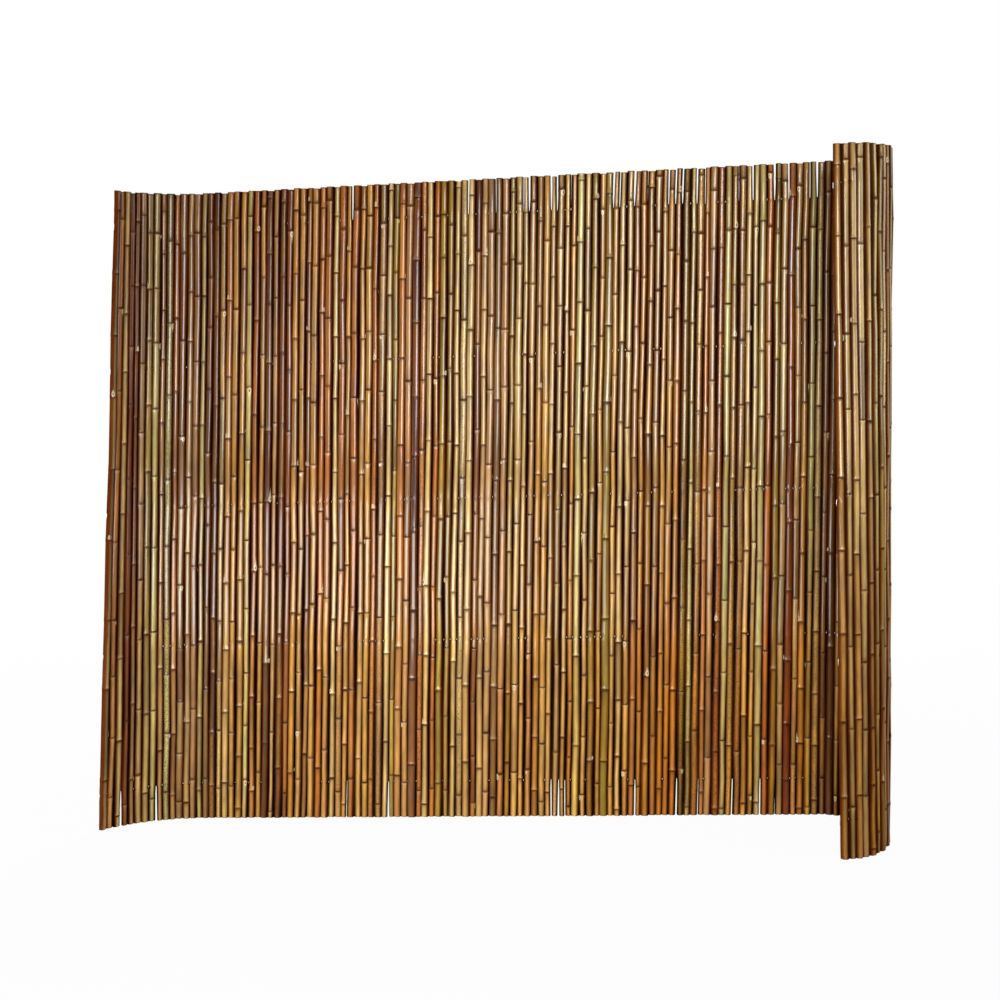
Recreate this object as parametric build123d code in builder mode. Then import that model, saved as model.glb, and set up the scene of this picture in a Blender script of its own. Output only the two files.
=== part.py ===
"""Bamboo roll-up blind: a mat of round canes threaded on wires, standing half unrolled on its cane ends."""

import os
from math import atan2, cos, degrees, pi

from build123d import *

# Canes: hollow poles cut to one length, of uneven girth, laid butt down and tip down by turns
cane_length = 1800.0
cane_diameter = 17.9
cane_sides = 10
cane_gap = 1.5
cut_spread = 4.0
bore_wall = 3.2
bore_depth = 60.0
bore_sides = 6
taper_share = 0.12
girth_shares = (1.02, 0.91, 1.1, 0.97, 0.86, 1.06, 1.0, 1.13, 0.93, 1.04, 0.88, 1.08, 0.99)
cut_shares = (0.0, 0.5, 0.2, 1.0, 0.35, 0.1, 0.7)

# Mat: the curled free end, the flat panel and the end that is still rolled, seen from left to right
curl_canes = 15
panel_canes = 90
roll_canes = 24
bundle_canes = 3
curl_foot_radius = 450.0
curl_top_radius = 205.0
roll_foot_radius = 150.0
roll_top_radius = 138.0
lean = 90.0

# Wires: drawn through every cane and turned down outside the two end canes
wire_count = 5
wire_diameter = 2.0
wire_inset = 100.0
wire_clearance = 0.4
wire_tail = 16.0
wire_sides = 6

# Girth of each cane, and the distance of its centre along the mat from the left edge
cane_count = curl_canes + panel_canes + roll_canes
roll_start = curl_canes + panel_canes
girths = [cane_diameter * girth_shares[i % len(girth_shares)] for i in range(cane_count)]
runs = []
edge = 0.0
for girth in girths:
    runs.append(edge + girth / 2)
    edge += girth + cane_gap
curl_run = (runs[curl_canes - 1] + runs[curl_canes]) / 2
panel_run = (runs[roll_start - 1] + runs[roll_start]) / 2 - curl_run


def plan_points(curl_radius, roll_radius, shift):
    """Centres of the canes in plan, along a curl, a flat run, a half turn and a straight end."""
    with BuildLine():
        panel = Line((0, 0), (panel_run, 0))
        curl = JernArc(panel @ 0, panel % 0 * -1, curl_radius, degrees(curl_run / curl_radius))
        turn = JernArc(panel @ 1, panel % 1, roll_radius, -180)
    points = []
    for run in runs:
        along = run - curl_run
        beyond = along - panel_run
        if along < 0:
            point = curl.position_at(-along, position_mode=PositionMode.LENGTH)
        elif beyond < 0:
            point = panel.position_at(along, position_mode=PositionMode.LENGTH)
        else:
            point = turn.position_at(min(beyond, turn.length), position_mode=PositionMode.LENGTH)
            point += turn % 1 * max(beyond - turn.length, 0)
        points.append(point + Vector(shift, 0))
    return points


# Radii of each cane and both its ends in plan, set about the middle of the ground that the mat covers
foot_points = plan_points(curl_foot_radius, roll_foot_radius, 0)
top_points = plan_points(curl_top_radius, roll_top_radius, lean)
butts_down = [i % 2 == 0 for i in range(cane_count)]
foot_radii = []
top_radii = []
for girth, butt_down in zip(girths, butts_down):
    butt_radius = girth / 2 * (1 + taper_share / 2)
    tip_radius = girth / 2 * (1 - taper_share / 2)
    foot_radii.append(butt_radius if butt_down else tip_radius)
    top_radii.append(tip_radius if butt_down else butt_radius)
ends = list(zip(foot_points + top_points, foot_radii + top_radii))
middle = Vector(
    (min(p.X - r for p, r in ends) + max(p.X + r for p, r in ends)) / 2,
    (min(p.Y - r for p, r in ends) + max(p.Y + r for p, r in ends)) / 2,
)
foot_points = [point - middle for point in foot_points]
top_points = [point - middle for point in top_points]

# Planes of the square cuts, facing into the cane, which leans on the edge of its foot
cut_lengths = [cane_length - cut_spread * cut_shares[i % len(cut_shares)] for i in range(cane_count)]
foot_planes = []
top_planes = []
for foot, top, radius, length in zip(foot_points, top_points, foot_radii, cut_lengths):
    slant = top - foot
    axis = (slant + Vector(0, 0, cane_length)).normalized()
    foot_centre = foot + Vector(0, 0, radius * slant.length / cane_length)
    foot_planes.append(Plane(foot_centre, z_dir=axis))
    top_planes.append(Plane(foot_centre + axis * length, z_dir=axis * -1))

os.makedirs("parts", exist_ok=True)

# Canes: each tapers from butt to tip and is open at both ends as far as its first inner wall
zones = (
    ("left_curl", 0, curl_canes),
    ("panel", curl_canes, roll_start),
    ("rolled_end", roll_start, cane_count),
)
for zone, first, last in zones:
    for number, start in enumerate(range(first, last, bundle_canes), 1):
        bundle = range(start, min(start + bundle_canes, last))
        with BuildPart() as canes:
            for i in bundle:
                butt, tip = max(foot_radii[i], top_radii[i]), min(foot_radii[i], top_radii[i])
                narrowing = (butt - tip) * cos(pi / cane_sides)
                with BuildSketch(foot_planes[i] if butts_down[i] else top_planes[i]):
                    RegularPolygon(butt, cane_sides)
                extrude(amount=cut_lengths[i], taper=degrees(atan2(narrowing, cut_lengths[i])))
            for i in bundle:
                with BuildSketch(foot_planes[i]):
                    RegularPolygon(foot_radii[i] - bore_wall, bore_sides)
                with BuildSketch(top_planes[i]):
                    RegularPolygon(top_radii[i] - bore_wall, bore_sides)
            extrude(amount=bore_depth, mode=Mode.SUBTRACT)
        canes.part.label = f"{zone}_canes_{number:02d}"
        export_step(canes.part, f"parts/{canes.part.label}.step")


def wire_corners(height):
    """Corners of a wire: its turned-down ends, and a bend between each two bundles of the rounded parts."""
    share = height / cane_length
    centres = []
    for foot, top in zip(foot_points, top_points):
        centres.append(foot + (top - foot) * share + Vector(0, 0, height))
    corners = []
    for start in range(bundle_canes, cane_count, bundle_canes):
        if start <= curl_canes or start >= roll_start:
            corners.append((centres[start - 1] + centres[start]) / 2)
    for end, beside in ((0, 1), (-1, -2)):
        radius = foot_radii[end] + (top_radii[end] - foot_radii[end]) * share
        outward = (centres[end] - centres[beside]).normalized()
        down = (foot_points[end] - top_points[end] - Vector(0, 0, cane_length)).normalized()
        bend = centres[end] + outward * (radius + wire_clearance + wire_diameter / 2)
        tail = bend + down * wire_tail
        corners = [tail, bend] + corners if end == 0 else corners + [bend, tail]
    return corners


# Wires: one at each level, evenly spaced between the lowest and the highest
wire_spacing = (cane_length - 2 * wire_inset) / (wire_count - 1)
for level in range(wire_count):
    with BuildPart() as wire:
        with BuildLine() as route:
            Polyline(*wire_corners(wire_inset + level * wire_spacing))
        with BuildSketch(Plane(origin=route.line @ 0, z_dir=route.line % 0)):
            RegularPolygon(wire_diameter / 2, wire_sides)
        sweep(transition=Transition.RIGHT)
    wire.part.label = f"wire_{level + 1}"
    export_step(wire.part, f"parts/{wire.part.label}.step")
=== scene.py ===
"""Looks of the bamboo roll-up blind: lacquered canes with joints and sawn ends, threaded on wires."""

import bpy
import numpy as np
from mathutils import Matrix, Vector


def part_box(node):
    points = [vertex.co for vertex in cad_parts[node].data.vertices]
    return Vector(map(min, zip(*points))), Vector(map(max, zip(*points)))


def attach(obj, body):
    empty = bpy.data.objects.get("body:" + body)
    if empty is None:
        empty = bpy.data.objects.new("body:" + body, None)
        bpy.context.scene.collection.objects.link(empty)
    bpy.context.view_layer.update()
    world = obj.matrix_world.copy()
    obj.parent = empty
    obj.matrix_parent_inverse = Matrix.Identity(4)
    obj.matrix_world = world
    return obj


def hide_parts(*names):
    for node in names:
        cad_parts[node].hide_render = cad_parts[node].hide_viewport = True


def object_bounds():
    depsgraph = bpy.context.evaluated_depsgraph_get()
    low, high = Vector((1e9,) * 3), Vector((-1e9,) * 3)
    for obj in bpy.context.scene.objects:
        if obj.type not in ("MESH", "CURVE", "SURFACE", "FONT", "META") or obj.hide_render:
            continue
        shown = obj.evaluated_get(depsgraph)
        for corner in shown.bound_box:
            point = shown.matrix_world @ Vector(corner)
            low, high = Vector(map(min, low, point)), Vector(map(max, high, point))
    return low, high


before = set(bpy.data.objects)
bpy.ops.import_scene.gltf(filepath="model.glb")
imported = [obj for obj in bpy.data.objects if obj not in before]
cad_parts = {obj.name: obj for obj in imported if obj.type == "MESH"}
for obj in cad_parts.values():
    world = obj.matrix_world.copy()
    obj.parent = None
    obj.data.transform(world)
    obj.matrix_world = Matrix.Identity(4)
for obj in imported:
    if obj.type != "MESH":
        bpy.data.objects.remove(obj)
cad_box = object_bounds()

# Canes: whole bamboo poles of finger thickness, sawn to one length, drilled for the wires and dipped in
# amber lacquer. They stand side by side, threaded on the wires, and each bundle of three is one piece.
end_face_depth = 0.02
weld_digits = 6
chance = np.random.default_rng(23)


def poles_of(node):
    """Foot centre, top centre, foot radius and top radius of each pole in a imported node. Corners that lie
    together are welded, triangles spread the lowest corner number over each pole, and the mean of an end
    face is its centre."""
    mesh = node.data
    places = np.empty(3 * len(mesh.vertices))
    mesh.vertices.foreach_get("co", places)
    loops = np.empty(len(mesh.loops), dtype=int)
    mesh.loops.foreach_get("vertex_index", loops)
    corners, welded = np.unique(places.reshape(-1, 3).round(weld_digits), axis=0, return_inverse=True)
    triangles = welded.reshape(-1)[loops].reshape(-1, 3)
    pole = np.arange(len(corners))
    spread = False
    while not spread:
        lowest = pole[triangles].min(axis=1)
        spread = bool((pole[triangles] == lowest[:, None]).all())
        np.minimum.at(pole, triangles.ravel(), np.repeat(lowest, 3))
    poles = []
    for number in np.unique(pole):
        own = corners[pole == number]
        low_face = own[own[:, 2] < own[:, 2].min() + end_face_depth]
        high_face = own[own[:, 2] > own[:, 2].max() - end_face_depth]
        low_centre, high_centre = low_face.mean(axis=0), high_face.mean(axis=0)
        low_radius = np.linalg.norm(low_face - low_centre, axis=1).max()
        high_radius = np.linalg.norm(high_face - high_centre, axis=1).max()
        poles.append((low_centre, high_centre, low_radius, high_radius))
    return poles


# Order of the canes along the mat: the leftmost foot comes first, and the nearest foot follows each time
bundles = [name for name in sorted(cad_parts) if "canes" in name]
found = [(name, *pole) for name in bundles for pole in poles_of(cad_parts[name])]
left_over = set(range(len(found)))
order = [min(left_over, key=lambda i: found[i][1][0])]
left_over.remove(order[0])
while left_over:
    last_foot = found[order[-1]][1]
    order.append(min(left_over, key=lambda i: np.linalg.norm(found[i][1] - last_foot)))
    left_over.remove(order[-1])
cane_bundle = np.array([bundles.index(found[i][0]) for i in order])
foot = np.array([found[i][1] for i in order])
top = np.array([found[i][2] for i in order])
foot_radius = np.array([found[i][3] for i in order])
top_radius = np.array([found[i][4] for i in order])
cane_count = len(order)
cane_number = np.arange(cane_count)
cane_length = np.linalg.norm(top - foot, axis=1)
cane_axis = (top - foot) / cane_length[:, None]
across = np.gradient((foot + top) / 2, axis=0)
across -= cane_axis * (across * cane_axis).sum(axis=1, keepdims=True)
across /= np.linalg.norm(across, axis=1, keepdims=True)
behind = np.cross(cane_axis, across)
growth = np.where(foot_radius > top_radius, 1.0, -1.0)

# Joints and wires: their distances from the foot along each cane. The joints are staggered from cane to
# cane and lie unevenly, and the rings of points stand closer at joints, wires and sawn ends.
wire_diameter = 0.002
joint_count = 9
joint_margin = 0.018
joint_start_share = 0.1
joint_stagger_share = 0.8
joint_jitter_share = 0.16
joint_warp_share = 0.11
joint_rings = np.array((-9.0, -4.0, -2.0, -1.0, 0.0, 1.2, 3.2, 5.5, 8.0, 11.0, 17.0)) / 1000
wire_rings = np.array((-12.0, -3.5, -1.4, 1.4, 3.5, 12.0)) / 1000
end_rings = np.array((0.0, 0.6, 4.0, 30.0)) / 1000
cane_sides = 18
per_joint = (cane_count, joint_count)
wire_names = [name for name in sorted(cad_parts) if name.startswith("wire")]
wire_heights = np.array([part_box(name)[1].z - wire_diameter / 2 for name in wire_names])
wire_at = (wire_heights[None, :] - foot[:, 2:]) / cane_axis[:, 2:]
stagger = chance.random(cane_count)
joint_at = np.arange(joint_count) + joint_start_share + joint_stagger_share * stagger[:, None]
joint_at = joint_at + joint_jitter_share * (chance.random(per_joint) - 0.5)
joint_at = joint_at / joint_count
warp = chance.uniform(-joint_warp_share, joint_warp_share, (cane_count, 1))
joint_at = joint_at + warp * np.sin(np.pi * joint_at)
joint_at = cane_length[:, None] * joint_at
joint_at = np.clip(joint_at, joint_margin, cane_length[:, None] - joint_margin)


def stations_along():
    """Distances of the outer rings from the foot of each cane: a cluster at every joint, a few beside
    every wire and a few at both ends, sorted."""
    at_joints = (joint_at[:, :, None] + growth[:, None, None] * joint_rings).reshape(cane_count, -1)
    at_wires = (wire_at[:, :, None] + wire_rings).reshape(cane_count, -1)
    at_foot = np.broadcast_to(end_rings, (cane_count, len(end_rings)))
    at_top = cane_length[:, None] - end_rings
    rings = np.concatenate((at_joints, at_wires, at_foot, at_top), axis=1)
    return np.sort(np.clip(rings, 0, cane_length[:, None]), axis=1)


along = stations_along()
from_joint = growth[:, None, None] * (along[:, :, None] - joint_at[:, None, :])
nearest_joint = np.abs(from_joint).argmin(axis=2)
past_joint = np.take_along_axis(from_joint, nearest_joint[:, :, None], axis=2)[:, :, 0]
angle = 2 * np.pi * np.arange(cane_sides) / cane_sides
side = np.cos(angle)
rear = np.sin(angle)


def at_joint(values):
    """Values given for each joint of each cane, taken at every ring from the joint nearest to it."""
    return np.take_along_axis(values, nearest_joint, axis=1)


def hump(rise, spread):
    """A bell of height one, exp(-t^2), where t counts the spreads from a ring to a rise past its joint."""
    return np.exp(-((past_joint - rise) / spread) ** 2)


# Gaps: how far each flank has to swell to meet its neighbour, how far it stands open at the foot and at the
# top, more often towards the right and hardly ever in the roll, and which gaps show a wire. What opens more
# is given for foot and top. A zone is where a change starts and where it is complete.
seldom_open = 0.06
open_more = (0.2, 0.42)
open_zone = (0.2, 0.75)
roll_gaps = 0.81
roll_open = 0.001
wire_shown_share = 0.35


def smooth_step(start, end, value):
    """Zero before the start, one past the end, and the cubic 3t^2 - 2t^3 of the share t between them. The
    end may lie below the start."""
    share = np.clip((value - start) / (end - start), 0, 1)
    return share * share * (3 - 2 * share)


def beside(gap_values):
    """Values given for each gap, as a pair for the gaps to the left and to the right of every cane."""
    return np.stack((gap_values[:-1], gap_values[1:]))


height_share = along / cane_length[:, None]
in_lower_half = height_share < 0.5
radius = foot_radius[:, None] + (top_radius - foot_radius)[:, None] * height_share
half_gap = np.zeros((2, *along.shape))
for flank, step in enumerate((-1, 1)):
    neighbour = np.clip(cane_number + step, 0, cane_count - 1)
    apart = (foot[neighbour] - foot)[:, None, :] * (1 - height_share[..., None])
    apart = np.linalg.norm(apart + (top[neighbour] - top)[:, None, :] * height_share[..., None], axis=2)
    next_radius = foot_radius[neighbour][:, None] * (1 - height_share)
    next_radius = next_radius + top_radius[neighbour][:, None] * height_share
    half_gap[flank] = np.where((neighbour == cane_number)[:, None], 0, (apart - radius - next_radius) / 2)
inner_gap = np.arange(cane_count + 1) % cane_count != 0
gap_place = np.linspace(0, 1, cane_count + 1)[:, None]
often_open = seldom_open + np.array(open_more) * smooth_step(*open_zone, gap_place)
often_open = np.where(gap_place > roll_gaps, roll_open, often_open)
open_share = np.clip(1 - chance.random((cane_count + 1, 2)) / often_open, 0, 1)
end_open = np.stack([np.where(in_lower_half, ends[:, :1], ends[:, 1:]) for ends in beside(open_share)])
nearest_wire = np.abs(along[:, :, None] - wire_at[:, None, :]).argmin(axis=2)
to_wire = np.abs(along - np.take_along_axis(wire_at, nearest_wire, axis=1))
gap_shows = chance.random((cane_count + 1, len(wire_names))) < wire_shown_share
wire_shown = np.stack([np.take_along_axis(shows, nearest_wire, axis=1) for shows in beside(gap_shows)])
on_right_flank = side > 0


def by_flank(values):
    """Values of the left and the right flank of each ring, given to the points on that flank."""
    return np.where(on_right_flank, values[1][..., None], values[0][..., None])


# Branch scars: a pale almond with a dark heart just above a joint, turning sides from joint to joint.
# A point's reach is its distance from the middle of the almond, and is one on the almond's edge.
scarred_share = 0.32
scar_sizes = (0.55, 1.1)
scar_width = 0.0042
scar_height = 0.0095
scar_rise = 0.0095
no_scar = 3.0
branch_side = 2 * np.pi * chance.random(cane_count)
scarred = at_joint(chance.random(per_joint) < scarred_share)
scar_size = at_joint(chance.uniform(*scar_sizes, per_joint))
scar_angle = at_joint(branch_side[:, None] + np.pi * np.arange(joint_count))
mean_radius = (foot_radius + top_radius) / 2
turn = (angle[None, None, :] - scar_angle[:, :, None] + np.pi) % (2 * np.pi) - np.pi
scar_reach = np.hypot(
    turn * mean_radius[:, None, None] / scar_width,
    (past_joint - scar_rise)[:, :, None] / scar_height,
) / scar_size[:, :, None]
scar_reach = np.where(scarred[:, :, None], np.minimum(scar_reach, no_scar), no_scar)

# Bends: the line where two neighbours meet lies to one side of the middle and wanders to and fro, and each
# cane sways sideways and bows to front and back in waves of its own. A wave has a phase and a rate.
meet_spread = 0.0009
meet_limit = 0.0016
meet_depth = 0.0008
meet_rates = (3.0, 10.0)
sway_rates = (8.0, 20.0)
bow_rates = (14.0, 34.0)
last_phase = 6.3


def drawn_waves(count, rates):
    """Phase and rate of a number of waves, drawn evenly between their limits."""
    return chance.uniform((0.0, rates[0]), (last_phase, rates[1]), (count, 2))


def wave(waves, run):
    """Sine of one wave for each cane, whose angle is its phase plus its rate times the run at each ring."""
    return np.sin(waves[:, :1] + waves[:, 1:] * run)


meet_waves = drawn_waves(cane_count + 1, meet_rates)
meet_offset = np.clip(chance.normal(0, meet_spread, cane_count + 1), -meet_limit, meet_limit)
meet_offset = np.where(inner_gap, meet_offset, 0)
meet_swing = np.where(inner_gap, meet_depth, 0)
sway_waves = drawn_waves(cane_count, sway_rates)
bow_waves = drawn_waves(cane_count, bow_rates)


def meeting_line(gap):
    """How far the meeting line in each of the given gaps lies to the right of the middle, at every ring."""
    return meet_offset[gap, None] + meet_swing[gap, None] * wave(meet_waves[gap], along)


# Skin: closed rings of points around each cane. A joint has three forms, the swelling, the ledge and the
# groove, each with its share of the radius, its rise past the joint and its spread. Each wave of the whole
# mat has the canes to a radian, its rate up the cane and its phase.
section_inset = 0.0006
rim_round = 0.0006
joint_forms = ((0.075, 0.0030, 0.0042), (0.050, -0.0012, 0.0010), (-0.050, 0.0002, 0.0009))
side_swelling = 0.8
seam_overlap = 0.0010
bare_wire_zone = (0.0012, 0.0030)
slit_sharpness = 3
slit_zone = (0.0, 0.03)
end_opening = 0.0036
foot_opening_share = 0.65
mat_waves = ((5.3, 5.1, 0.0), (8.9, -8.3, 1.0))
mat_sway = 0.0011
own_sway = 0.0008
sway_zone = (0.0, 0.15)
bow_depth = 0.0017
bow_zone = (0.0, 0.08)
scar_lump = 0.05


def outer_places():
    """Places of the outer rings: a flattened circle about an axis that is straight from foot to top, apart
    from a sway and a bow between the wires. Its radius runs evenly from foot to top, with a round swelling
    above each joint, a sharp ledge at it and a groove between them. Each flank is widened to the line where
    it meets its neighbour, but not where a wire shows or the gap stands open beyond the end wires."""
    swelling = sum(share * hump(rise, spread) for share, rise, spread in joint_forms)
    beyond = np.maximum(wire_at[:, :1] - along, along - wire_at[:, -1:])
    closed = np.where(wire_shown, smooth_step(*bare_wire_zone, to_wire), 1)
    closed = closed * np.where(beyond > 0, 1 - np.minimum(slit_sharpness * end_open, 1), 1)
    opening = end_opening / 2 * end_open * smooth_step(*slit_zone, beyond)
    opening = opening * np.where(in_lower_half, foot_opening_share, 1)
    trim = rim_round - np.minimum(np.minimum(along, cane_length[:, None] - along), rim_round)
    deep = radius * (1 + swelling) - section_inset - trim
    wide = radius * (1 + side_swelling * swelling) + (half_gap + seam_overlap) * closed - opening - trim
    wide = wide + np.stack((-meeting_line(cane_number), meeting_line(cane_number + 1)))
    sway = 0
    for canes, rate, phase in mat_waves:
        sway = sway + np.sin(cane_number[:, None] / canes + rate * height_share + phase)
    sway = mat_sway * sway + own_sway * wave(sway_waves, height_share)
    sway = sway * smooth_step(*sway_zone, to_wire)
    bow = bow_depth * wave(bow_waves, height_share) * smooth_step(*bow_zone, to_wire)
    middle = foot[:, None, :] + cane_axis[:, None, :] * along[:, :, None]
    middle = middle + across[:, None, :] * sway[:, :, None] + behind[:, None, :] * bow[:, :, None]
    lump = 1 + scar_lump * np.exp(-scar_reach ** 2)
    sideways = (by_flank(wide) * side)[..., None] * across[:, None, None, :]
    backwards = (deep[:, :, None] * rear * lump)[..., None] * behind[:, None, None, :]
    return middle[:, :, None, :] + sideways + backwards


# Bores: each cane is hollow at both ends as far as its first inner wall
wall = 0.0032
bore_depth = 0.055
lip_share = 0.04
hub_share = 0.02


def bore_places(outer_end, into):
    """Rings of a hollow end, from the sawn face inwards: the mouth, the bore and its nearly closed floor.
    Each is the end ring shrunk towards its centre by the wall, and moved along the cane."""
    centre = outer_end.mean(axis=1, keepdims=True)
    spokes = outer_end - centre
    reach = np.linalg.norm(spokes, axis=2, keepdims=True).mean(axis=1, keepdims=True)
    mouth = centre + spokes * (reach - wall) / reach
    inward = bore_depth * into[:, None, :]
    hub = centre + hub_share * spokes + inward
    return np.stack((mouth, mouth + lip_share * inward, mouth + inward, hub), axis=1)


outside = outer_places()
foot_bore = bore_places(outside[:, 0], cane_axis)[:, ::-1]
top_bore = bore_places(outside[:, -1], -cane_axis)
surface = np.clip(np.concatenate((foot_bore, outside, top_bore), axis=1), *np.array(cad_box))
bore_rings = foot_bore.shape[1]
beyond_ends = ((0, 0), (bore_rings, bore_rings), (0, 0))

# Tones of the canes, as screen colours, and how common each is at the left, in the middle, at the right and
# in the roll. Each stretch between two joints leans to a second tone and is a little lighter or darker.
tones = {
    "straw": (162, 135, 80),
    "gold": (146, 104, 38),
    "tan": (134, 100, 58),
    "olive": (114, 95, 26),
    "sage": (150, 140, 82),
    "amber": (134, 74, 14),
    "russet": (86, 42, 12),
    "maroon": (48, 20, 8),
    "umber": (84, 58, 28),
}
left_shares = (0.13, 0.18, 0.18, 0.09, 0.05, 0.16, 0.11, 0.03, 0.07)
middle_shares = (0.25, 0.20, 0.17, 0.07, 0.05, 0.14, 0.07, 0.02, 0.03)
right_shares = (0.19, 0.18, 0.15, 0.07, 0.04, 0.18, 0.12, 0.03, 0.04)
roll_shares = (0.42, 0.16, 0.20, 0.10, 0.08, 0.04, 0.0, 0.0, 0.0)
left_zone = (0.45, 0.1)
right_zone = (0.6, 0.95)
zone_scatter = 0.2
zone_limit = 0.6
roll_place = 0.83
second_tone_share = 0.4
shade_spread = 0.11
dark_share = 0.05
dark_shade = 0.55
tone_chance = np.random.default_rng(41)


def light_of(screen):
    """Linear light of screen colours from 0 to 255, by the usual two-part curve."""
    share = np.asarray(screen, dtype=float) / 255
    return np.where(share <= 0.04045, share / 12.92, ((share + 0.055) / 1.055) ** 2.4)


def blend(colour, other, share):
    """Colours that go in a straight line from one to the other by the share."""
    return colour + (other - colour) * share[..., None]


def drawn_tones(shares):
    """One tone for each cane, drawn at random by the shares."""
    drawn = tone_chance.choice(len(tones), cane_count, p=np.array(shares) / sum(shares))
    return light_of(list(tones.values()))[drawn]


place_share = np.linspace(0, 1, cane_count)[:, None]


def in_zone(zone):
    """Which canes count as lying in a zone of the mat, whose edge is ragged."""
    return smooth_step(*zone, place_share) + zone_scatter * chance.random((cane_count, 1)) > zone_limit


on_left = in_zone(left_zone)
on_right = in_zone(right_zone)
own_tone = np.where(on_left, drawn_tones(left_shares), drawn_tones(middle_shares))
own_tone = np.where(on_right, drawn_tones(right_shares), own_tone)
own_tone = np.where(place_share > roll_place, drawn_tones(roll_shares), own_tone)
second_tone = np.where(on_left, drawn_tones(left_shares), drawn_tones(middle_shares))
internode = (along[:, :, None] > joint_at[:, None, :]).sum(axis=2)
internode_mix = np.take_along_axis(chance.random((cane_count, joint_count + 1)), internode, axis=1)
shades = chance.normal(1, shade_spread, (cane_count, joint_count + 1))
shades *= np.where(chance.random(shades.shape) < dark_share, dark_shade, 1)
internode_shade = np.take_along_axis(shades, internode, axis=1)
ring_tones = blend(own_tone[:, None, :], second_tone[:, None, :], second_tone_share * internode_mix)

# Changes along the mat and up the canes: paler low at the left as painted sheen, warmer low at the right,
# redder at the upper left, lighter towards the foot as painted light, and darker in the roll and at the
# curled edge as painted shade
low_zone = (1.0, 0.15)
to_left_zone = (0.6, 0.25)
to_right_zone = (0.25, 0.65)
rolled_zone = (0.80, 0.86)
curled_zone = (0.18, 0.08)
high_zone = (1.0, 1.5)
far_left_zone = (0.35, 0.1)
painted_sheen_shares = (0.0, 0.5)
warmed_shares = (0.1, 1.5)
warm_tint = (1.05, 0.78, 0.42)
reddened_share = 0.25
painted_light_gain = 0.12
painted_left_light_gain = 0.12
painted_roll_shade = 0.14
painted_low_roll_shade = 0.36
painted_curl_shade = 0.28
low = smooth_step(*low_zone, along)
to_left = smooth_step(*to_left_zone, place_share)
to_right = smooth_step(*to_right_zone, place_share)
rolled = smooth_step(*rolled_zone, place_share)
curled = smooth_step(*curled_zone, place_share)
high_left = smooth_step(*high_zone, along) * smooth_step(*far_left_zone, place_share)
# painted sheen: low on the left, canes are blended towards pale straw
painted_sheen_blend = tone_chance.uniform(*painted_sheen_shares, (cane_count, 1)) * low * to_left
ring_tones = blend(ring_tones, light_of(tones["straw"]), painted_sheen_blend)
warmed = tone_chance.uniform(*warmed_shares, (cane_count, 1)) * low * to_right
ring_tones = ring_tones * (1 + warmed[..., None] * (np.array(warm_tint) - 1))
ring_tones = blend(ring_tones, light_of(tones["russet"]), reddened_share * high_left)
# painted light: the foot is lightened, more at the left
brightness = internode_shade + (painted_light_gain + painted_left_light_gain * to_left) * low
# painted shade: darker in the roll, most at its foot, and at the curled edge
brightness = brightness - rolled * (painted_roll_shade + painted_low_roll_shade * low) - painted_curl_shade * curled
ring_tones = ring_tones * brightness[..., None]

# Marks at the joints: a pale bloom that fades above the joint, and a dark ring with a softer band below it
scar_tone = (196, 178, 140)
ring_tone = (40, 16, 4)
bloom_share = 0.24
bloom_edge = 0.002
bloom_start = 0.004
bloom_fade = 0.008
ring_strengths = (0.75, 1.0)
ring_heights = (0.0026, 0.0046)
ring_drop = 0.0004
ring_sharpness = 4
band_share = 0.4
band_drop = 0.004
band_height = 0.006
bloom = bloom_share * np.exp(-np.clip(past_joint - bloom_start, 0, None) / bloom_fade)
bloom *= past_joint > bloom_edge
bloom *= at_joint(chance.random(per_joint) ** 2)
ring_tones = blend(ring_tones, light_of(scar_tone), bloom)
ring_strength = at_joint(chance.uniform(*ring_strengths, per_joint))
ring_height = at_joint(chance.uniform(*ring_heights, per_joint))
ring_shade = ring_strength * np.exp(-((past_joint + ring_drop) / ring_height) ** ring_sharpness)
ring_shade = np.maximum(ring_shade, band_share * ring_strength * hump(-band_drop, band_height))
ring_tones = blend(ring_tones, light_of(ring_tone), ring_shade)

# Seams: narrow dark painted shadows between neighbours, of uneven width and depth, in flanks that painted
# shade turns red-brown.
# A seam starts at a share of the half width, further out at the joints and further in at the foot.
flank_painted_shade_tone = (76, 26, 0)
seam_painted_shadow_tone = (16, 2, 0)
seam_starts = (0.53, 0.85)
seam_depths = (0.7, 1.25)
seam_rate = 8
start_wave = 0.06
depth_wave = 0.3
least_depth = 0.2
roll_depth_loss = 0.25
knuckle_rise = 0.002
knuckle_spread = 0.005
knuckle_shift = 0.12
low_shift = 0.04
flank_zone = (-0.55, 0.05)
flank_share = 0.93
seam_zone = (-0.14, 0.10)
gap_start = chance.uniform(*seam_starts, cane_count + 1)
gap_depth = chance.uniform(*seam_depths, cane_count + 1)
gap_phase = chance.uniform(0, 2 * np.pi, cane_count + 1)
gap_wave = np.sin(beside(gap_phase)[:, :, None] + seam_rate * along)
seam_depth = np.clip(beside(gap_depth)[:, :, None] + depth_wave * gap_wave, least_depth, 1)
seam_depth = (1 - roll_depth_loss * rolled) * seam_depth
seam_start = beside(gap_start)[:, :, None] - start_wave * gap_wave
seam_start = seam_start + knuckle_shift * hump(knuckle_rise, knuckle_spread) - low_shift * low
has_neighbour = beside(inner_gap)[:, :, None].astype(float)
past_start = np.abs(side) - by_flank(seam_start)
# painted shade on the flanks, and painted shadow in the seams between neighbours
flank_shade = smooth_step(*flank_zone, past_start)
seam = smooth_step(*seam_zone, past_start) * by_flank(has_neighbour * seam_depth)
outer_tones = blend(ring_tones[:, :, None, :], light_of(flank_painted_shade_tone), flank_share * flank_shade)
outer_tones = blend(outer_tones, light_of(seam_painted_shadow_tone), seam)

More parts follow.
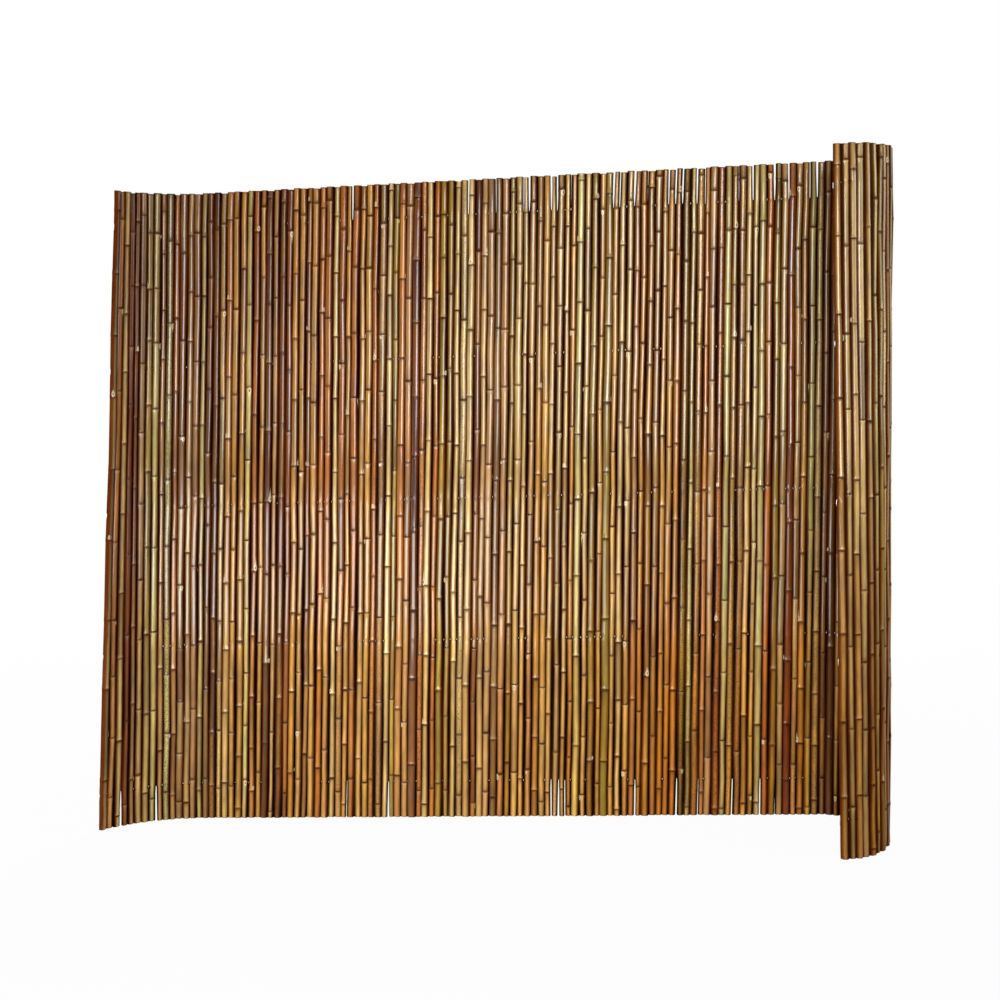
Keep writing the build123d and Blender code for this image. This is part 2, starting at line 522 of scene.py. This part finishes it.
# Sheen of the lacquer: none in the seams and on the flanks, little on the dark rings, most at middle height
# on the left and in the upper half on the right, and a little more on the roll and the curled edge
dull_seam_zone = (0, 0.4)
dull_flank_zone = (0.1, 0.75)
dull_edge_zone = (0.2, 0.9)
left_sheen_zone = (0.62, 0.35)
left_foot_zone = (0.05, 0.3)
left_top_zone = (1.65, 1.2)
right_sheen_share = 0.88
right_sheen_zone = (0.35, 0.6)
right_foot_zone = (0.7, 1.0)
least_sheen = 0.55
sheen_gain = 0.36
edge_gain = 0.12
ring_dullness = 0.85
dull = np.maximum(smooth_step(*dull_seam_zone, seam), smooth_step(*dull_flank_zone, flank_shade))
dull = np.maximum(dull, smooth_step(*dull_edge_zone, np.abs(side)) * by_flank(1 - has_neighbour))
left_sheen = smooth_step(*left_sheen_zone, place_share) * smooth_step(*left_foot_zone, along)
left_sheen = left_sheen * smooth_step(*left_top_zone, along)
right_sheen = right_sheen_share * smooth_step(*right_sheen_zone, place_share)
right_sheen = right_sheen * smooth_step(*right_foot_zone, along)
sheen = least_sheen + sheen_gain * np.maximum(left_sheen, right_sheen)
sheen = sheen + edge_gain * np.maximum(rolled * (1 - low), curled)
sheen = (1 - ring_dullness * ring_shade) * sheen
gloss = np.pad((1 - dull) * sheen[:, :, None], beyond_ends)
scar_field = np.pad(scar_reach, beyond_ends, constant_values=no_scar)

# Sawn ends: bare wood, with painted shade that darkens it from the mouth of the bore to its floor
saw_tone = (160, 124, 78)
saw_spread = 0.12
painted_bore_shades = (0.05, 0.25, 0.8, 1.0)
saw_cut = light_of(saw_tone) * chance.normal(1, saw_spread, (cane_count, 1, 1, 1)) + 0 * foot_bore
# painted shade deepens into each bore
saw_cut *= np.array(painted_bore_shades)[:, None, None]
surface_tones = np.concatenate((saw_cut, outer_tones, saw_cut[:, ::-1]), axis=1)

# Grain: the place of every point on its own cane, for fibres that run along it and close around it, and how
# strongly each cane is specked
grain_spacing = 3.7
mottled_share = 0.16
mottle_strengths = (0.4, 1.0)
faint_mottle = 0.06
turned_side = mean_radius[:, None, None] * side + 0 * surface[..., 0]
turned_rear = mean_radius[:, None, None] * rear + 0 * surface[..., 0]
height_on = np.pad(along, beyond_ends[:2], mode="edge") + grain_spacing * cane_number[:, None]
grain_place = np.stack((turned_side, turned_rear, height_on[:, :, None] + 0 * turned_side), axis=-1)
is_mottled = chance.random(cane_count) < mottled_share
cane_mottle = np.where(is_mottled, chance.uniform(*mottle_strengths, cane_count), faint_mottle)
mottle = cane_mottle[:, None, None] + 0 * turned_side


def lacquered_bamboo():
    """Amber lacquer over bamboo skin: each cane's own tone under fine fibre streaks, soft clouds and, on
    some canes, dark specks, with a clear glossy coat whose sheen breaks up along the cane."""
    material = bpy.data.materials.new("lacquered_bamboo")
    material.use_nodes = True
    nodes, links = material.node_tree.nodes, material.node_tree.links
    skin = nodes["Principled BSDF"]
    noise_span = (0.3, 0.7)
    speck_light = (0.035, 0.020, 0.008, 1)

    def attribute(name, output):
        node = nodes.new("ShaderNodeAttribute")
        node.attribute_name = name
        return node.outputs[output]

    def stretched_noise(place, lengthwise, scale, detail):
        mapping = nodes.new("ShaderNodeMapping")
        mapping.inputs["Scale"].default_value = (1, 1, lengthwise)
        links.new(place, mapping.inputs["Vector"])
        noise = nodes.new("ShaderNodeTexNoise")
        noise.inputs["Scale"].default_value = scale
        noise.inputs["Detail"].default_value = detail
        links.new(mapping.outputs["Vector"], noise.inputs["Vector"])
        return noise.outputs["Fac"]

    def remap(value, span, result):
        node = nodes.new("ShaderNodeMapRange")
        for name, number in zip(("From Min", "From Max", "To Min", "To Max"), (*span, *result)):
            node.inputs[name].default_value = number
        links.new(value, node.inputs["Value"])
        return node.outputs["Result"]

    def product(first, second):
        node = nodes.new("ShaderNodeMath")
        node.operation = "MULTIPLY"
        links.new(first, node.inputs[0])
        links.new(second, node.inputs[1])
        return node.outputs["Value"]

    def mixed(kind, factor, first, second):
        node = nodes.new("ShaderNodeMix")
        node.data_type = "RGBA"
        node.blend_type = kind
        for value, socket in ((factor, node.inputs[0]), (first, node.inputs[6]), (second, node.inputs[7])):
            if isinstance(value, (float, tuple)):
                socket.default_value = value
            else:
                links.new(value, socket)
        return node.outputs[2]

    place = attribute("grain_place", "Vector")
    fibres = stretched_noise(place, lengthwise=0.02, scale=900, detail=3)
    clouds = stretched_noise(place, lengthwise=0.22, scale=60, detail=3)
    specks = stretched_noise(place, lengthwise=0.6, scale=420, detail=2)
    streaks = remap(fibres, span=noise_span, result=(0.78, 1.16))
    cloud_shades = remap(clouds, span=noise_span, result=(0.74, 1.2))
    tone = mixed("MULTIPLY", 1.0, attribute("tone", "Color"), product(streaks, cloud_shades))
    speckle = product(remap(specks, span=(0.52, 0.62), result=(0.0, 0.8)), attribute("mottle", "Fac"))
    tone = mixed("MIX", speckle, tone, speck_light)
    scar = attribute("scar", "Fac")
    almond = remap(scar, span=(0.7, 1.1), result=(0.7, 0.0))
    tone = mixed("MIX", almond, tone, (*light_of(scar_tone), 1))
    heart = remap(scar, span=(0.35, 0.6), result=(0.85, 0.0))
    tone = mixed("MIX", heart, tone, (*light_of(ring_tone), 1))
    links.new(tone, skin.inputs["Base Color"])
    lacquer = attribute("gloss", "Fac")
    links.new(remap(lacquer, span=(0.0, 1.0), result=(0.95, 0.42)), skin.inputs["Roughness"])
    patches = remap(clouds, span=noise_span, result=(1.0, 0.7))
    links.new(product(lacquer, patches), skin.inputs["Coat Weight"])
    skin.inputs["Coat Roughness"].default_value = 0.11
    skin.inputs["Specular IOR Level"].default_value = 0.0
    bump = nodes.new("ShaderNodeBump")
    bump.inputs["Strength"].default_value = 0.25
    bump.inputs["Distance"].default_value = 0.0004
    links.new(fibres, bump.inputs["Height"])
    links.new(bump.outputs["Normal"], skin.inputs["Normal"])
    return material


def grid_faces(strips, rings, sides):
    """Corner numbers of the quads of closed tubes, where each ring is joined to the next and the last side
    to the first, and of the two many-sided faces that close the ends of each tube."""
    number = np.arange(strips * rings * sides).reshape(strips, rings, sides)
    onward = np.roll(number, -1, axis=2)
    quads = np.stack((number[:, :-1], onward[:, :-1], onward[:, 1:], number[:, 1:]), axis=-1).reshape(-1, 4)
    caps = np.concatenate((number[:, 0, ::-1], number[:, -1]))
    return quads, caps


def tube_mesh(name, places):
    """A mesh of closed tubes from their ring points, given as tube, ring, side and coordinate."""
    strips, rings, sides, _ = places.shape
    quads, caps = grid_faces(strips, rings, sides)
    sizes = np.concatenate((np.full(len(quads), 4), np.full(len(caps), sides)))
    mesh = bpy.data.meshes.new(name)
    mesh.vertices.add(strips * rings * sides)
    mesh.vertices.foreach_set("co", places.ravel())
    mesh.loops.add(sizes.sum())
    mesh.loops.foreach_set("vertex_index", np.concatenate((quads.ravel(), caps.ravel())))
    mesh.polygons.add(len(sizes))
    mesh.polygons.foreach_set("loop_start", np.concatenate(((0,), np.cumsum(sizes)[:-1])))
    mesh.polygons.foreach_set("use_smooth", np.ones(len(sizes), dtype=bool))
    mesh.update(calc_edges=True)
    mesh.validate()
    return mesh


bamboo = lacquered_bamboo()
opaque_tones = np.concatenate((surface_tones, np.ones_like(surface_tones[..., :1])), axis=-1)
point_values = (
    ("tone", "FLOAT_COLOR", "color", opaque_tones),
    ("grain_place", "FLOAT_VECTOR", "vector", grain_place),
    ("gloss", "FLOAT", "value", gloss),
    ("mottle", "FLOAT", "value", mottle),
    ("scar", "FLOAT", "value", scar_field),
)
for number, bundle in enumerate(bundles):
    own = cane_bundle == number
    mesh = tube_mesh(f"bamboo_{bundle}", surface[own])
    for name, kind, field, values in point_values:
        points = mesh.attributes.new(name, kind, "POINT")
        points.data.foreach_set(field, values[own].ravel())
    mesh.materials.append(bamboo)
    piece = bpy.data.objects.new(f"bamboo_{bundle}", mesh)
    bpy.context.scene.collection.objects.link(piece)
    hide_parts(bundle)
    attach(piece, "root")

# Wires: five galvanised steel wires, each drawn through a hole in every cane at its level.
# Both ends are turned down outside the last cane, which keeps the canes from sliding off.
wire_sides = 8
wire_clearance = 0.0004
wire_tail = 0.016
tail_rings = 3
tail_start = 0.0015
bend_drop = 0.0004
bend_insets = (0.0004, 0.0016)


def wire_places(level):
    """Rings of one wire: a circle carried through the middles of all canes at that level, square to the run
    from the ring before to the ring after, with a bend and a tail along the end canes."""
    at = wire_at[:, level]
    middles = foot + cane_axis * at[:, None]
    radii = foot_radius + (top_radius - foot_radius) * at / cane_length
    gap = (radii + wire_clearance + wire_diameter / 2)[:, None]
    bends = middles + across * gap * np.where(cane_number == 0, -1, 1)[:, None]
    fall = np.linspace(wire_tail, tail_start, tail_rings)[:, None]
    inset = np.array(bend_insets)[:, None]
    left_tail = bends[0] - cane_axis[0] * fall
    left_bend = bends[0] - cane_axis[0] * bend_drop + across[0] * inset
    right_tail = bends[-1] - cane_axis[-1] * fall[::-1]
    right_bend = bends[-1] - cane_axis[-1] * bend_drop - across[-1] * inset[::-1]
    route = np.concatenate((left_tail, left_bend, middles, right_bend, right_tail))
    run = np.gradient(route, axis=0)
    run /= np.linalg.norm(run, axis=1, keepdims=True)
    flat = behind[np.clip(np.arange(len(route)) - tail_rings - len(bend_insets), 0, cane_count - 1)]
    flat = flat - run * (flat * run).sum(axis=1, keepdims=True)
    flat /= np.linalg.norm(flat, axis=1, keepdims=True)
    other = np.cross(run, flat)
    turns = 2 * np.pi * np.arange(wire_sides) / wire_sides
    circle = flat[:, None, :] * np.cos(turns)[:, None] + other[:, None, :] * np.sin(turns)[:, None]
    return route[:, None, :] + circle * wire_diameter / 2


def galvanised_steel():
    """Dull zinc on drawn steel, with a mottled grey and a little roughness."""
    material = bpy.data.materials.new("galvanised_steel")
    material.use_nodes = True
    nodes, links = material.node_tree.nodes, material.node_tree.links
    zinc = nodes["Principled BSDF"]
    noise = nodes.new("ShaderNodeTexNoise")
    noise.inputs["Scale"].default_value = 700
    place = nodes.new("ShaderNodeTexCoord")
    links.new(place.outputs["Object"], noise.inputs["Vector"])
    ramp = nodes.new("ShaderNodeValToRGB")
    ramp.color_ramp.elements[0].color = (0.26, 0.26, 0.26, 1)
    ramp.color_ramp.elements[1].color = (0.52, 0.52, 0.51, 1)
    links.new(noise.outputs["Fac"], ramp.inputs["Fac"])
    links.new(ramp.outputs["Color"], zinc.inputs["Base Color"])
    zinc.inputs["Metallic"].default_value = 1.0
    zinc.inputs["Roughness"].default_value = 0.38
    return material


steel = galvanised_steel()
for level, name in enumerate(wire_names):
    mesh = tube_mesh(f"steel_{name}", wire_places(level)[None])
    mesh.materials.append(steel)
    piece = bpy.data.objects.new(f"steel_{name}", mesh)
    bpy.context.scene.collection.objects.link(piece)
    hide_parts(name)
    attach(piece, "root")

# Studio: a white floor that keeps a faint shadow, in a white room. Two lamps in front stand for windows,
# one low on the left and a larger, higher one on the right, and four more stand behind, at each side and
# overhead.
floor_reach = 30.0
floor_grey = (0.6, 0.6, 0.6, 1)
shadow_near = 1.3
shadow_far = 4.0
shadow_white = 0.96
room_light = 0.08
white = (1.0, 1.0, 1.0)
daylight = (0.95, 0.98, 1.0)
lamplight = (1.0, 0.94, 0.85)


def lit_for_eye(tree, seen, plain):
    """The share of what only the eye sees, one for what is looked at straight or by mirror and glass and
    zero for all other light, and a mix of the plain shader with the seen one that waits for a share."""
    path = tree.nodes.new("ShaderNodeLightPath")
    first = tree.nodes.new("ShaderNodeMath")
    first.operation = "MAXIMUM"
    tree.links.new(path.outputs["Is Camera Ray"], first.inputs[0])
    tree.links.new(path.outputs["Is Glossy Ray"], first.inputs[1])
    both = tree.nodes.new("ShaderNodeMath")
    both.operation = "MAXIMUM"
    tree.links.new(first.outputs["Value"], both.inputs[0])
    tree.links.new(path.outputs["Is Transmission Ray"], both.inputs[1])
    mix = tree.nodes.new("ShaderNodeMixShader")
    tree.links.new(plain, mix.inputs[1])
    tree.links.new(seen, mix.inputs[2])
    return both.outputs["Value"], mix


def white_floor():
    """Matt white that shows the shadow close to the blind and turns to plain white further out."""
    material = bpy.data.materials.new("white_floor")
    material.use_nodes = True
    tree = material.node_tree
    tree.nodes.remove(tree.nodes["Principled BSDF"])
    matt = tree.nodes.new("ShaderNodeBsdfDiffuse")
    matt.inputs["Color"].default_value = floor_grey
    glow = tree.nodes.new("ShaderNodeEmission")
    glow.inputs["Strength"].default_value = 1.0
    seen_share, mix = lit_for_eye(tree, glow.outputs["Emission"], matt.outputs["BSDF"])
    place = tree.nodes.new("ShaderNodeTexCoord")
    reach = tree.nodes.new("ShaderNodeVectorMath")
    reach.operation = "LENGTH"
    tree.links.new(place.outputs["Object"], reach.inputs[0])
    fade = tree.nodes.new("ShaderNodeMapRange")
    fade.inputs["From Min"].default_value = shadow_near
    fade.inputs["From Max"].default_value = shadow_far
    fade.inputs["To Min"].default_value = shadow_white
    fade.inputs["To Max"].default_value = 1.0
    tree.links.new(reach.outputs["Value"], fade.inputs["Value"])
    both = tree.nodes.new("ShaderNodeMath")
    both.operation = "MULTIPLY"
    tree.links.new(seen_share, both.inputs[0])
    tree.links.new(fade.outputs["Result"], both.inputs[1])
    tree.links.new(both.outputs["Value"], mix.inputs["Fac"])
    tree.links.new(mix.outputs["Shader"], tree.nodes["Material Output"].inputs["Surface"])
    return material


floor_corners = [(x * floor_reach, y * floor_reach, 0) for x, y in ((-1, -1), (1, -1), (1, 1), (-1, 1))]
floor_mesh = bpy.data.meshes.new("floor")
floor_mesh.from_pydata(floor_corners, [], [(0, 1, 2, 3)])
floor_mesh.materials.append(white_floor())
floor = bpy.data.objects.new("floor", floor_mesh)
bpy.context.scene.collection.objects.link(floor)

world = bpy.data.worlds.new("white_room")
world.use_nodes = True
bpy.context.scene.world = world
sky = world.node_tree
room = sky.nodes["Background"]
room.inputs["Color"].default_value = (*white, 1)
room.inputs["Strength"].default_value = room_light
bright = sky.nodes.new("ShaderNodeBackground")
bright.inputs["Color"].default_value = (*white, 1)
bright.inputs["Strength"].default_value = 1.0
seen_share, sky_mix = lit_for_eye(sky, bright.outputs["Background"], room.outputs["Background"])
sky.links.new(seen_share, sky_mix.inputs["Fac"])
sky.links.new(sky_mix.outputs["Shader"], sky.nodes["World Output"].inputs["Surface"])


def softbox(name, place, target, size, power, colour, spread):
    """A flat lamp that faces its target, throws no wider than its spread and isn't itself seen."""
    lamp = bpy.data.lights.new(name, "AREA")
    lamp.shape = "RECTANGLE"
    lamp.size, lamp.size_y = size
    lamp.energy = power
    lamp.color = colour
    lamp.spread = np.radians(spread)
    holder = bpy.data.objects.new(name, lamp)
    holder.location = place
    holder.rotation_euler = (Vector(target) - Vector(place)).to_track_quat("-Z", "Y").to_euler()
    holder.visible_camera = False
    bpy.context.scene.collection.objects.link(holder)


softbox("left_window", place=(-0.7, -2.0, 0.33), target=(-0.7, 0.1, 0.45), size=(2.2, 0.6),
        power=44.0, colour=daylight, spread=150)
softbox("right_window", place=(0.8, -4.2, 1.5), target=(0.35, 0.1, 1.3), size=(2.6, 1.7),
        power=46.0, colour=daylight, spread=70)
softbox("back", place=(0.0, 3.6, 1.5), target=(0.0, 0.1, 0.9), size=(3.2, 1.8),
        power=190.0, colour=white, spread=180)
softbox("left_side", place=(-3.6, -0.2, 1.2), target=(-1.1, 0.0, 0.9), size=(1.4, 1.4),
        power=36.0, colour=white, spread=120)
softbox("right_side", place=(3.6, -0.6, 1.5), target=(1.1, 0.0, 1.0), size=(1.4, 1.4),
        power=16.0, colour=white, spread=120)
softbox("overhead", place=(0.0, -1.6, 3.6), target=(0.0, 0.1, 0.8), size=(3.0, 1.6),
        power=5.0, colour=lamplight, spread=180)

# Camera: in front and a little to the right, level and at eye height, tilted a little to one side, with its
# lens shifted down so that the uprights don't converge
eye = Vector((0.3519, -3.2221, 1.2815))
eye_yaw = -0.0867
eye_roll = -0.0387
sensor_width = 36.0
focal_share = 1.2
lens_shift = -0.1386
forward = Vector((np.sin(eye_yaw), np.cos(eye_yaw), 0))
level_right = Vector((np.cos(eye_yaw), -np.sin(eye_yaw), 0))
level_up = level_right.cross(forward)
right = np.cos(eye_roll) * level_right + np.sin(eye_roll) * level_up
upward = np.cos(eye_roll) * level_up - np.sin(eye_roll) * level_right
camera = bpy.data.cameras.new("camera")
camera.sensor_width = sensor_width
camera.lens = focal_share * sensor_width
camera.shift_y = lens_shift
viewer = bpy.data.objects.new("camera", camera)
viewer.matrix_world = Matrix((right, upward, -forward)).transposed().to_4x4()
viewer.location = eye
bpy.context.scene.collection.objects.link(viewer)
bpy.context.scene.camera = viewer
bpy.context.scene.view_settings.view_transform = "Standard"
